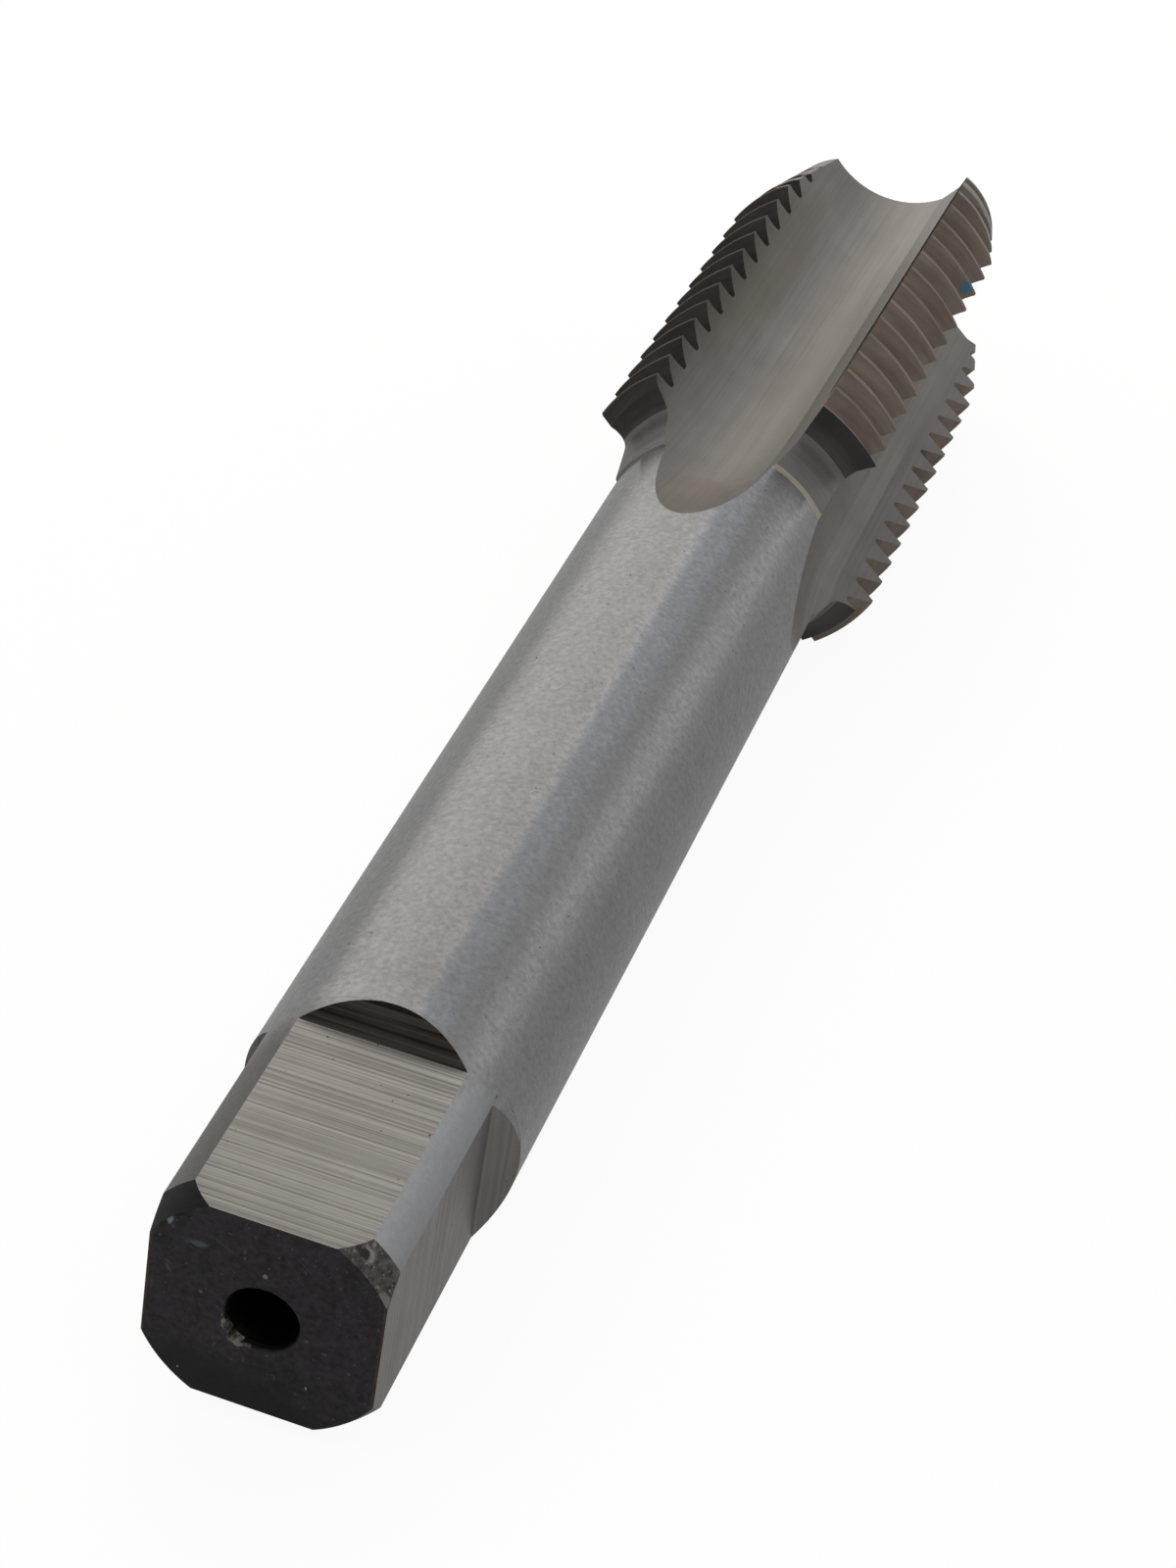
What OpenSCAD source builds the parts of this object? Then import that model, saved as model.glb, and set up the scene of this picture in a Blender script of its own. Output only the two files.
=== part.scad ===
// Hand tap with straight flutes, left-hand metric thread, square drive.
// One solid of high speed steel, lying at rest on two of its lands and on the end of its shank.
// The tap is made upright, with the drive end at z = 0, and is then laid down along +X.
// Angles round the axis are counted from the square's top flat towards the cutting side of a flute.

/* [Overall] */
// Length from the drive end to the tip
overall_len = 112; // [105:1:125]
// Length of the threaded part
thread_len = 37; // [32:1:42]

/* [Shank] */
// Ground diameter of the shank
shank_d = 14; // [13.4:0.1:14.6]
// Length of the unground neck beside the shoulder
neck_len = 3.6; // [3:0.1:5]
// How far the unground neck stands above the shank
neck_step = 0.15; // [0.05:0.05:0.2]
// Rise of the neck's radius towards the shoulder
neck_rise = 0.75; // [0.3:0.05:0.9]
// Radius of the hollow corner at the foot of the shoulder
shoulder_fillet = 1.3; // [0.8:0.1:1.5]

/* [Square] */
// Width of the square across its flats
across_flats = 11.2; // [10.8:0.1:11.8]
// Length of the flats, to the foot of their end walls
flat_len = 13.5; // [11:0.5:18]
// Slope of the end walls, from the axis
end_wall_angle = 45; // [35:1:60]
// Diameter of the drive end's face, inside the slightly crowned chamfer of its corners
end_face_d = 12.68; // [12.2:0.02:13]
// Length of the corner chamfer
end_chamfer = 1.3; // [0.8:0.1:2]

/* [Thread] */
// Diameter over the thread's crests
major_d = 20; // [19.6:0.1:20.4]
// Distance from one crest to the next
pitch = 2.5; // [2:0.1:3]
// Height of the thread from root to crest
thread_depth = 1.53; // [1.2:0.01:1.55]
// Place of a crest along the axis at the top flat, before the thread begins
crest_offset = 0.24; // [0:0.01:2.5]

/* [Flutes] */
// Number of flutes
flutes = 4; // [3:1:4]
// Diameter of the core that the flutes leave
core_d = 9.1; // [8.4:0.1:9.8]
// Radius of the round bottom of a flute
flute_r = 5.65; // [5.4:0.05:5.9]
// Turn of the first flute from the top flat, at the shoulder
flute_turn = -5.9; // [-12:0.1:12]
// Angle from the middle of a flute to its cutting edge
cut_angle = 30.3; // [29:0.1:32]
// Rake of the cutting face at the edge
rake = 3; // [0:0.5:6]
// Depth of the straight cutting face, below which it curls into the flute
face_depth = 2.6; // [2:0.1:3]
// Turn of the face at the foot of its straight part
hook_angle = 18.5; // [10:0.5:25]
// Skew of a flute against the axis
flute_skew = 1.3; // [0:0.1:2]
// Radius of the wheel that cuts the flutes
wheel_r = 53; // [40:1:60]
// Length of full depth that the wheel leaves uncut above the shoulder
runout_lead = 3.7; // [2:0.1:6]

/* [Lead chamfer] */
// Diameter at the tip, over the cutting edges
tip_d = 16.7; // [16.4:0.1:17.8]
// Slope of the lead chamfer, from the axis
lead_angle = 12.8; // [9:0.1:16]
// Distance of a land's chamfer centre from the axis, towards its cutting edge, which relieves the heel
lead_offset = 3.7; // [0:0.1:4]
// How far the whole chamfer was ground out of centre
lead_runout = 0.5; // [0:0.05:0.6]
// Side on which that leaves the chamfer high, from the top flat
lead_turn = 58; // [0:1:359]

/* [Centres] */
// Diameter of the centre hole in the drive end
drive_centre_d = 3.4; // [2.5:0.1:4]
// Depth of its round wall
drive_centre_len = 8; // [5:0.5:12]
// Diameter of the centre hole in the tip
tip_centre_d = 2.5; // [2:0.1:3]
// Depth of its round wall, below the countersink
tip_centre_len = 4; // [3:0.5:6]
// Diameter of the countersink's mouth in the tip
tip_sink_d = 5; // [4:0.1:6]

/* [Hidden] */
$fn = 96;
over = 1;                              // how far a cutter runs past what it cuts
slip = 0.1;                            // how far two cutters run into each other
shank_r = shank_d / 2;
major_r = major_d / 2;
core_r = core_d / 2;
tip_r = tip_d / 2;
root_r = major_r - thread_depth;
thread_z = overall_len - thread_len;   // height of the shoulder
neck_z = thread_z - neck_len;          // end of the ground shank
half_flat = across_flats / 2;

lead_over = 1.2;                       // how far over the crests the lead chamfer's cone begins

// A 60 degree thread has crests an eighth of the pitch wide
flank = tan(30);
crest_w = pitch / 8;
groove_w = pitch - crest_w;
groove_over = 0.15;
helix_angle = atan(pitch / (PI * (major_d - thread_depth)));

// Angles of a land, from the middle of the flute before it
flute_mid_r = core_r + flute_r;
heel_angle = acos((major_r^2 + flute_mid_r^2 - flute_r^2) / (2 * major_r * flute_mid_r));
land_angle = 360 / flutes - heel_angle - cut_angle;
tip_shift = atan(thread_len * tan(flute_skew) / major_r);
land_mid = cut_angle + (land_angle + tip_shift) / 2;
land_half = (land_angle + tip_shift) / 2 + 2.5;

// Rest: two lands carry the thread, and the shank's end at the square carries the drive end
rest_half = (heel_angle + cut_angle) / 2;
rest_roll = (heel_angle - cut_angle) / 2 - flute_turn;
thread_drop = major_r * cos(rest_half);
thread_x = thread_z + pitch / 2;
shank_x = flat_len + (shank_r * cos(rest_roll) - half_flat) / tan(end_wall_angle);
rest_tilt = atan((thread_drop - shank_r) / (thread_x - shank_x));
mid_drop = shank_r + (overall_len / 2 - shank_x) * tan(rest_tilt);

// One groove of the thread across one land: a ring sector tilted to the helix at the land's middle
module groove(turn, k) {
    mid = turn + land_mid;
    z = thread_z + crest_offset - pitch * (mid / 360 - floor(mid / 360)) + pitch * (k + 0.5);
    outer = groove_w / 2 + groove_over * flank;
    inner = groove_w / 2 - thread_depth * flank;
    if (z + groove_w / 2 > thread_z && z - groove_w / 2 < overall_len)
        rotate(mid) translate([0, 0, z]) rotate([-helix_angle, 0, 0]) rotate(-land_half)
            rotate_extrude(angle = 2 * land_half, $fn = 60) polygon([
                [root_r, -inner], [major_r + groove_over, -outer],
                [major_r + groove_over, outer], [root_r, inner]
            ]);
}

// Lead chamfer of one land: what lies outside an offset cone, over that land alone
module lead_cut(turn) {
    mid = turn + land_mid;
    edge = turn + cut_angle + tip_shift;
    half = land_half + 1;
    rise = major_r + lead_over - tip_r;
    reach = rise / tan(lead_angle);
    end_r = tip_r - lead_offset;
    difference() {
        rotate(mid - half) translate([0, 0, overall_len - reach + slip])
            rotate_extrude(angle = 2 * half) translate([root_r - lead_over, 0])
            square([thread_depth + 2 * lead_over, reach + over / 2 - slip]);
        rotate(lead_turn) translate([lead_runout, 0, overall_len - reach])
            rotate(edge - lead_turn) translate([lead_offset, 0, 0])
            cylinder(r1 = end_r + rise, r2 = end_r - over * tan(lead_angle), h = reach + over);
    }
}

// Half outline of the turned blank: drive end, shank, neck, hollow shoulder and threaded part
module blank_outline() {
    foot_r = shank_r + neck_step;
    slope = neck_rise / neck_len;
    side = sqrt(1 + slope^2);
    mid_z = thread_z - shoulder_fillet;
    mid_r = foot_r + slope * (mid_z - neck_z) + shoulder_fillet * side;
    crown_z = (shank_r^2 + end_chamfer^2 - (end_face_d / 2)^2) / (2 * end_chamfer);
    crown_r = sqrt((end_face_d / 2)^2 + crown_z^2);
    difference() {
        polygon([
            [0, 0], [shank_r, 0], [shank_r, neck_z - neck_step],
            [foot_r, neck_z], [mid_r - shoulder_fillet / side, mid_z + shoulder_fillet * slope / side],
            [mid_r, mid_z], [mid_r, thread_z], [major_r, thread_z], [major_r, overall_len],
            [0, overall_len]
        ]);
        translate([mid_r, mid_z]) circle(r = shoulder_fillet);
        difference() {
            translate([end_face_d / 2, -over]) square([shank_r, end_chamfer + over]);
            translate([0, crown_z]) circle(r = crown_r, $fn = 2 * $fn);
        }
    }
}

module blank() {
    rotate_extrude() blank_outline();
}

// Flute in section: a round bottom, and a hooked cutting face on its +Y side
module flute_section() {
    edge = major_r * [cos(cut_angle), sin(cut_angle)];
    up = [cos(cut_angle - rake), sin(cut_angle - rake)];
    low = cut_angle - rake + hook_angle;
    knee = edge - face_depth * up;
    foot = knee - 4 * [cos(low), sin(low)];
    top = knee + 12 * up;
    difference() {
        translate([flute_mid_r, 0]) circle(r = flute_r);
        polygon([foot, knee, top, [top[0], top[1] + flute_r], [foot[0], top[1] + flute_r]]);
    }
}

// One flute: straight along the thread, and let out by the round of the wheel
module flute() {
    start_z = thread_z + runout_lead;
    wheel_x = core_r + wheel_r;
    sweep = acos((wheel_x - major_r + 1) / wheel_r) + 3;
    translate([0, 0, thread_z]) rotate([-flute_skew, 0, 0]) translate([0, 0, -thread_z]) {
        translate([0, 0, start_z]) linear_extrude(overall_len + 3 * over - start_z) flute_section();
        translate([wheel_x, 0, start_z]) rotate([90, 0, 0]) rotate(180)
            rotate_extrude(angle = sweep) translate([wheel_x, 0]) rotate(180) flute_section();
    }
}

// One flat of the square, with its sloping end wall
module flat_cut() {
    rise = shank_d;
    translate([0, shank_d, 0]) rotate([90, 0, 0]) linear_extrude(2 * shank_d)
        polygon([
            [half_flat, -over], [half_flat, flat_len],
            [half_flat + rise, flat_len + rise / tan(end_wall_angle)], [half_flat + rise, -over]
        ]);
}

// Centre hole in the drive end: round wall, drill point and a broken edge
module drive_centre() {
    r = drive_centre_d / 2;
    edge = 0.2;
    translate([0, 0, -over]) cylinder(r = r, h = drive_centre_len + over);
    translate([0, 0, drive_centre_len]) cylinder(r1 = r, r2 = 0, h = r / tan(59));
    translate([0, 0, -edge / tan(30)]) cylinder(r1 = r + 2 * edge, r2 = r, h = 2 * edge / tan(30));
}

// Centre hole in the tip, with a 60 degree countersink
module tip_centre() {
    r = tip_centre_d / 2;
    sink_r = tip_sink_d / 2;
    sink = (sink_r - r) / tan(30);
    translate([0, 0, overall_len - sink - tip_centre_len]) {
        cylinder(r = r, h = tip_centre_len + slip);
        translate([0, 0, -r / tan(59)]) cylinder(r1 = 0, r2 = r, h = r / tan(59));
    }
    translate([0, 0, overall_len - sink])
        cylinder(r1 = r, r2 = sink_r + over * tan(30), h = sink + over);
}

module upright_tap() {
    difference() {
        blank();
        for (i = [0 : flutes - 1]) rotate(flute_turn + i * 360 / flutes) flute();
        for (i = [0 : flutes - 1]) lead_cut(flute_turn + i * 360 / flutes);
        for (i = [0 : flutes - 1]) for (k = [-1 : ceil(thread_len / pitch) + 1])
            groove(flute_turn + i * 360 / flutes, k);
        for (i = [0 : 3]) rotate(i * 90) flat_cut();
        drive_centre();
        tip_centre();
    }
}

// Lays the tap along +X with its top flat up, rolls it onto two lands and tilts it onto its shank
module tap() {
    color("#7c7d7f")
        translate([0, 0, mid_drop * cos(rest_tilt)]) rotate([0, -rest_tilt, 0])
        rotate([rest_roll, 0, 0]) translate([-overall_len / 2, 0, 0])
        rotate([180, -90, 0]) upright_tap();
}

tap();
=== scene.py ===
"""Left-hand hand tap of ground and oxidised high speed steel, lying on a white table.

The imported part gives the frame. One finer surface of the whole tap stands for its node: it has the
true helix, the worn mouth of the centre hole and a finish for each ground, milled or raw surface.
"""

from math import cos, radians, sin

import bmesh
import bpy
import numpy as np
from mathutils import Matrix, Vector
from mathutils.geometry import tessellate_polygon


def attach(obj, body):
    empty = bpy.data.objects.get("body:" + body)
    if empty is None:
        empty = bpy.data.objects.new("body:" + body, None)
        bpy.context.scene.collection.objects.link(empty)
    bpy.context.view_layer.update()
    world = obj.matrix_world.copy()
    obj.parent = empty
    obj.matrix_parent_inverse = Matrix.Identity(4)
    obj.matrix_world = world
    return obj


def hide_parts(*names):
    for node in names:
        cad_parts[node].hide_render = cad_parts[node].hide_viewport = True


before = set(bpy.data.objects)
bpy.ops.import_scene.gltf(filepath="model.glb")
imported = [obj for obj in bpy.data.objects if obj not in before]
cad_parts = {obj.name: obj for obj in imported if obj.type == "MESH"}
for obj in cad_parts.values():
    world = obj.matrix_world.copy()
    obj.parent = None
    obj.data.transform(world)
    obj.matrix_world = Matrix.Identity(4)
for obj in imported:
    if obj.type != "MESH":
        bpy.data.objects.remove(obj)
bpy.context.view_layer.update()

MM = 0.001

# Sizes of the tap in millimetres and degrees, as in the part's source
LENGTH = 112.0
SHANK_R = 7.0
HALF_FLAT = 5.6
FLAT_LENGTH = 13.5
END_FACE_R = 6.34
END_CHAMFER = 1.3
THREAD_X = 75.0
NECK_LENGTH = 3.6
NECK_STEP = 0.15
NECK_RISE = 0.75
SHOULDER_FILLET = 1.3
MAJOR_R = 10.0
PITCH = 2.5
THREAD_DEPTH = 1.53
CREST_OFFSET = 0.24
CORE_R = 4.55
FLUTE_R = 5.65
FLUTE_TURN = -5.9
CUT_ANGLE = 30.3
RAKE = 3.0
FACE_DEPTH = 2.6
HOOK_ANGLE = 18.5
FLUTE_SKEW = 1.3
WHEEL_R = 53.0
RUNOUT_LEAD = 3.7
TIP_R = 8.35
LEAD_ANGLE = 12.8
LEAD_OFFSET = 3.7
LEAD_RUNOUT = 0.5
LEAD_TURN = 58.0
DRIVE_HOLE_R = 1.7
DRIVE_HOLE_LENGTH = 8.0
TIP_HOLE_R = 1.25
TIP_HOLE_LENGTH = 4.0
TIP_SINK_R = 2.5
DRILL_HALF = 59.0
SINK_HALF = 30.0
THREAD_HALF = 30.0

# Torn mouth of the drive end's centre hole: where it lies, how wide it is and how far it tears
TEAR_ANGLE = 222.0
TEAR_HALF = 40.0
TEAR_DEPTH = 0.28
# Rings from the hole's wall over its mouth: depth, depth for each millimetre of tear, radius beyond
# the hole's, and radius for each millimetre of tear
MOUTH_RINGS = (
    (1.60, 0.00, 0.00, 0.00),
    (0.75, 0.00, 0.00, 0.10),
    (0.30, 0.00, 0.00, 0.60),
    (0.08, 0.00, 0.06, 0.85),
    (0.00, -0.35, 0.12, 1.00),
    (0.00, -0.20, 0.12, 1.50),
    (0.00, 0.00, 0.32, 2.00),
)

# Where finishes change, in millimetres, degrees and, for the burr and the rim, shares
# Width of the band where the grinding ends that carries a painted highlight
HIGHLIGHT_BAND = 0.14
SHOULDER_DARK = 0.8
# Station from which the camera's cutting face carries a painted dark reflection
DARK_REFLECTION_X = 80.0
STAIN_HALF = 30.0
RIM_FROM = 0.96
LIP_BELL = 0.25
WALL_BELL = 0.6

# How finely the surface is drawn: faces along and across each part of it
SHANK_ROWS = 25
NOSE_ROWS = 25
NECK_ROWS = 7
FILLET_ROWS = 12
WALL_ROWS = 7
CHAMFER_ROWS = 5
FLAT_ROWS = 29
END_WALL_ROWS = 14
FACE_RINGS = 18
OUTER_COLUMNS = 16
ARC_COLUMNS = 20
HOOK_COLUMNS = 4
FACE_COLUMNS = 5
SINK_COLUMNS = 64
# How often a flute's edge is found again, and how often its place is halved
EDGE_ROUNDS = 5
HALVINGS = 40
# Quarters of the pitch by which the thread's rows overrun it, and how near its ends a row may come
SPARE_STEPS = 4
END_GAP = 0.04
# Lengths over which rows turn to the helix's slant, from the shoulder and from the tip
SLANT_FROM_SHOULDER = 1.0
SLANT_FROM_TIP = 1.2
# Slack for comparing places
TINY = 1e-6
# How near patches' points are welded, and how small an edge is dropped
WELD = 0.0015
SLIVER = 0.0001
# Turn between two faces, in degrees, over which their edge is sharp
SHARP = 13.0
# Space between the flutes in the lay's coordinates
FLUTE_APART = 40.0

# Sizes in millimetres of the broad and the fine mottling of the steel
CLOUD_SIZE = 5.0
GRIT_SIZE = 0.32

# Light: how bright the room is, and how much of the table and the white wall each ray sees
ROOM_STRENGTH = 0.35
WALL_MIRRORED = 0.7
WALL_FADE = 0.9
TABLE_SEEN = 0.8
TABLE_MIRRORED = 0.30
TABLE_GLOW = 1.15
# Half width of the table in metres
TABLE_HALF = 3.0
# Soft boxes that face the tap: name, place and width in millimetres, power in watts, and colour
LAMPS = (
    ("window", (473, 200, 309), 500, 0.61, "#fff6ec"),
    ("sky_gap", (505, -98, 347), 215, 0.066, "#d8e2ff"),
    ("lamp", (454, -355, 165), 170, 0.042, "#ffffff"),
)

# Camera of the photograph: place in millimetres, turns in degrees, and focal length in its pixels
CAMERA_AT = (-172.33, -49.20, 116.14)
CAMERA_HEADING = 16.769
CAMERA_FALL = 32.753
CAMERA_ROLL = 2.033
CAMERA_FOCAL = 3812.2
PHOTO_HEIGHT = 1600
SENSOR = 36.0

# Places worked out from the sizes
RUNOUT_X = THREAD_X + RUNOUT_LEAD
WHEEL_AXIS = CORE_R + WHEEL_R
WHEEL_REACH = 0.8 * WHEEL_R
NECK_X = THREAD_X - NECK_LENGTH
SQUARE_END = FLAT_LENGTH + SHANK_R - HALF_FLAT
FLUTE_MID_R = CORE_R + FLUTE_R
HEEL_ANGLE = np.degrees(np.arccos(
    (MAJOR_R**2 + FLUTE_MID_R**2 - FLUTE_R**2) / (2 * MAJOR_R * FLUTE_MID_R)))
TIP_SHIFT = np.degrees(np.arctan((LENGTH - THREAD_X) * np.tan(np.radians(FLUTE_SKEW)) / MAJOR_R))
LAND_MID = CUT_ANGLE + (90 - HEEL_ANGLE - CUT_ANGLE + TIP_SHIFT) / 2

# Rest: rolled onto two lands, and tilted until the shank's end at the square touches the table
REST_ROLL = (HEEL_ANGLE - CUT_ANGLE) / 2 - FLUTE_TURN
THREAD_DROP = MAJOR_R * np.cos(np.radians((HEEL_ANGLE + CUT_ANGLE) / 2))
SHANK_X = FLAT_LENGTH + SHANK_R * np.cos(np.radians(REST_ROLL)) - HALF_FLAT
REST_TILT = np.degrees(np.arctan((THREAD_DROP - SHANK_R) / (THREAD_X + PITCH / 2 - SHANK_X)))
MID_HEIGHT = (SHANK_R * np.cos(np.radians(REST_TILT))
              + (LENGTH / 2 - SHANK_X) * np.sin(np.radians(REST_TILT)))

# Finishes, in the order of the mesh's material slots
(GROUND, MILLED, DARK_WALL, SIDE_WALL, SCALE, DARK_CORNER, WORN_CORNER, STAIN, BURR_AND_HIGHLIGHT, NECK, HIGHLIGHT_LINE,
 SHOULDER, DARK_LAND, BROWN_LAND, CHAMFER, FLUTE, FACE, DARK_FACE, TIP, BORE) = range(20)


def unit(angle):
    """Unit vector at an angle in degrees: its cosine along the flute's middle, its sine across."""
    return np.array([np.cos(np.radians(angle)), np.sin(np.radians(angle))])


# The cutting face in the flute's section: an edge, a straight face down to a knee, and a hook
EDGE = MAJOR_R * unit(CUT_ANGLE)
FACE_UP = unit(CUT_ANGLE - RAKE)
KNEE = EDGE - FACE_DEPTH * FACE_UP
HOOK_UP = unit(CUT_ANGLE - RAKE + HOOK_ANGLE)
KNEE_FROM_MID = KNEE - np.array([FLUTE_MID_R, 0])
ALONG_HOOK = KNEE_FROM_MID @ HOOK_UP
HOOK_LENGTH = ALONG_HOOK + np.sqrt(ALONG_HOOK**2 - KNEE_FROM_MID @ KNEE_FROM_MID + FLUTE_R**2)
CREASE = KNEE - HOOK_LENGTH * HOOK_UP
CREASE_L = FLUTE_R * np.arctan2(CREASE[1], FLUTE_MID_R - CREASE[0])
KNEE_L = CREASE_L + HOOK_LENGTH
# Arc lengths that the flute's edges don't reach
CUT_LIMIT = KNEE_L + 1.25 * FACE_DEPTH
HEEL_LIMIT = -FLUTE_R * np.radians(84)


def flute_section(length):
    """Flute outline by arc length from its lowest point: a circle, then the hook, then the face."""
    turn = np.minimum(length, CREASE_L) / FLUTE_R
    hook = np.clip(length - CREASE_L, 0, HOOK_LENGTH)
    face = np.maximum(length - KNEE_L, 0)
    v = FLUTE_MID_R - FLUTE_R * np.cos(turn) + hook * HOOK_UP[0] + face * FACE_UP[0]
    u = FLUTE_R * np.sin(turn) + hook * HOOK_UP[1] + face * FACE_UP[1]
    return v, u


def flute_polar(length, x):
    """Radius and angle of the flute's surface at station x.

    Before the end of full depth the section swings round the wheel's axis, so its distance v from
    the tap's axis becomes wheel axis - sqrt((wheel axis - v)^2 - run^2). The skew shifts it sideways.
    """
    v, u = flute_section(length)
    run = np.clip(RUNOUT_X - x, 0, WHEEL_REACH)
    v = WHEEL_AXIS - np.sqrt((WHEEL_AXIS - v)**2 - run**2)
    u = u + np.tan(np.radians(FLUTE_SKEW)) * (x - THREAD_X)
    return np.hypot(v, u), np.degrees(np.arctan2(u, v))


def thread_radius(x, angle):
    """Radius of the 60 degree thread.

    It falls from its crest by the distance from the crest's flat, an eighth of the pitch wide, over
    the tangent of the flank's angle, as far as the root.
    """
    turns = (x - THREAD_X - CREST_OFFSET) / PITCH + angle / 360
    away = np.abs(turns - np.round(turns)) * PITCH
    return MAJOR_R - np.clip((away - PITCH / 16) / np.tan(np.radians(THREAD_HALF)), 0, THREAD_DEPTH)


def chamfer_radius(x, angle, land):
    """Radius of a land's lead chamfer: a cone whose centre lies off the axis.

    It lies towards the land's cutting edge, which relieves the heel, and a little to one side for
    all lands, as it was ground. The radius is centre distance * cos(angle from it) plus the root of
    cone radius^2 - (centre distance * sin(angle from it))^2.
    """
    edge = FLUTE_TURN + 90 * land + CUT_ANGLE + TIP_SHIFT
    centre = LEAD_OFFSET * unit(edge) + LEAD_RUNOUT * unit(LEAD_TURN)
    off_axis = np.hypot(*centre)
    from_centre = np.radians(angle) - np.arctan2(centre[1], centre[0])
    cone = TIP_R - LEAD_OFFSET + (LENGTH - x) * np.tan(np.radians(LEAD_ANGLE))
    return (off_axis * np.cos(from_centre)
            + np.sqrt(np.maximum(cone**2 - (off_axis * np.sin(from_centre))**2, 1)))


def body_rows():
    """Rows from the square to the tip: station, body radius, share of land, and share of helix.

    They are even along the shank, close up with the square of the distance along the flutes' nose,
    follow the shoulder's arc, and sit on the edges of crest and root in each quarter of the pitch.
    """
    nose_run = np.sqrt(WHEEL_R**2 - (WHEEL_AXIS - SHANK_R)**2)
    nose_x = RUNOUT_X - nose_run
    shank_end = NECK_X - NECK_STEP
    slope = NECK_RISE / NECK_LENGTH
    fillet_x = THREAD_X - SHOULDER_FILLET
    foot_r = SHANK_R + NECK_STEP
    fillet_r = foot_r + slope * (fillet_x - NECK_X) + SHOULDER_FILLET * np.hypot(1, slope)
    shank = np.linspace(SQUARE_END, nose_x, SHANK_ROWS + 1)[:-1]
    nose = nose_x + (shank_end - nose_x) * np.linspace(0, 1, NOSE_ROWS + 1)**2
    nose = np.insert(nose, NOSE_ROWS, shank_end - HIGHLIGHT_BAND)
    turn = np.linspace(-np.pi / 2 + np.arctan(slope), 0, FILLET_ROWS + 1)
    arc_x = fillet_x + SHOULDER_FILLET * np.sin(turn + np.pi / 2)
    arc_r = fillet_r - SHOULDER_FILLET * np.cos(turn + np.pi / 2)
    neck_x = np.linspace(NECK_X, arc_x[0], NECK_ROWS + 1)[:-1]
    neck_r = foot_r + slope * (neck_x - NECK_X)
    wall = np.linspace(0, 1, WALL_ROWS + 1)[1:]
    quarter = PITCH / 4
    first = THREAD_X + CREST_OFFSET - PITCH * (FLUTE_TURN + LAND_MID) / 360
    root_half = PITCH / 2 - PITCH / 16 - THREAD_DEPTH * np.tan(np.radians(THREAD_HALF))
    corners = [0, PITCH / 16, quarter / 2, quarter - PITCH / 16]
    corners += [(PITCH / 2 - root_half) % quarter, (PITCH / 2 + root_half) % quarter]
    steps = np.arange(-SPARE_STEPS, int((LENGTH - THREAD_X) / quarter) + SPARE_STEPS) * quarter
    thread = np.sort((first + steps[:, None] + np.array(corners)).ravel())
    thread = thread[(thread > THREAD_X + END_GAP) & (thread < LENGTH - END_GAP)]
    thread = np.append(thread, LENGTH)
    x = np.concatenate([shank, nose, neck_x, arc_x, np.full(WALL_ROWS, THREAD_X), thread])
    r = np.concatenate([np.full(len(shank) + len(nose), SHANK_R), neck_r, arc_r,
                        np.full(WALL_ROWS + len(thread), fillet_r)])
    land = np.concatenate([np.zeros(len(x) - WALL_ROWS - len(thread)), wall, np.ones(len(thread))])
    helix = (np.clip((x - THREAD_X) / SLANT_FROM_SHOULDER, 0, 1)
             * np.clip((LENGTH - x) / SLANT_FROM_TIP, 0, 1))
    kind = np.full(len(x), GROUND)
    # The band where the grinding ends carries a painted highlight
    kind[x >= shank_end - HIGHLIGHT_BAND - TINY] = HIGHLIGHT_LINE
    kind[x >= NECK_X - TINY] = NECK
    kind[(x > fillet_x + SHOULDER_DARK) & (x <= THREAD_X)] = SHOULDER
    kind[(x >= THREAD_X) & (land == 1)] = BROWN_LAND
    return {"x": x, "r": r, "land": land, "helix": helix, "kind": kind, "nose_x": nose_x}


ROWS = body_rows()


def row_radius(x, angle, land):
    """Outer radius in each row: the turned body's, mixed with the land's up the shoulder's wall.

    A land's radius is the lesser of its thread and its lead chamfer.
    """
    share = ROWS["land"].reshape((-1,) + (1,) * (np.ndim(x) - 1))
    body = ROWS["r"].reshape(share.shape)
    outer = np.minimum(thread_radius(x, angle), chamfer_radius(x, angle, land))
    return body + share * (outer - body)


def helix_shift(angle, land):
    """How far the left-hand helix carries a row along the axis.

    It is the pitch times the angle from the land's middle over a full turn.
    """
    share = ROWS["helix"].reshape((-1,) + (1,) * (np.ndim(angle) - 1))
    return -share * PITCH * (angle - FLUTE_TURN - 90 * land - LAND_MID) / 360


def flute_edges(flute, side):
    """Arc length, station and angle of a flute's edge in each row.

    The edge is where the flute's radius reaches the land's. It is found by halving, a few times
    over, because the row's slant depends on the edge's angle. side is -1 for the heel, which
    belongs to the land before, and 1 for the cutting edge.
    """
    land = flute if side > 0 else flute - 1
    turn = FLUTE_TURN + 90 * flute
    far = CUT_LIMIT if side > 0 else HEEL_LIMIT
    angle = np.full(len(ROWS["x"]), turn + (CUT_ANGLE if side > 0 else -HEEL_ANGLE))
    for _ in range(EDGE_ROUNDS):
        x = ROWS["x"] + helix_shift(angle, land)
        low = np.zeros(len(x))
        high = np.full(len(x), float(far))
        for _ in range(HALVINGS):
            mid = (low + high) / 2
            r, at = flute_polar(mid, x)
            inside = r < row_radius(x, at + turn, land)
            low = np.where(inside, mid, low)
            high = np.where(inside, high, mid)
        closed = ROWS["x"] <= ROWS["nose_x"] + TINY
        length = np.where(closed, 0, (low + high) / 2)
        angle = flute_polar(length, x)[1] + turn
    # Ahead of the nose the quarters' seams turn back to the middles of the square's flats
    nose_angle = angle[np.argmax(~closed) - 1]
    share = np.clip((ROWS["x"] - SQUARE_END) / (ROWS["nose_x"] - SQUARE_END), 0, 1)
    seam = 90 * flute + share * (nose_angle - 90 * flute)
    return length, x, np.where(closed, seam, angle)


# Patches of the surface, joined at the end
patches = []


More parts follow.
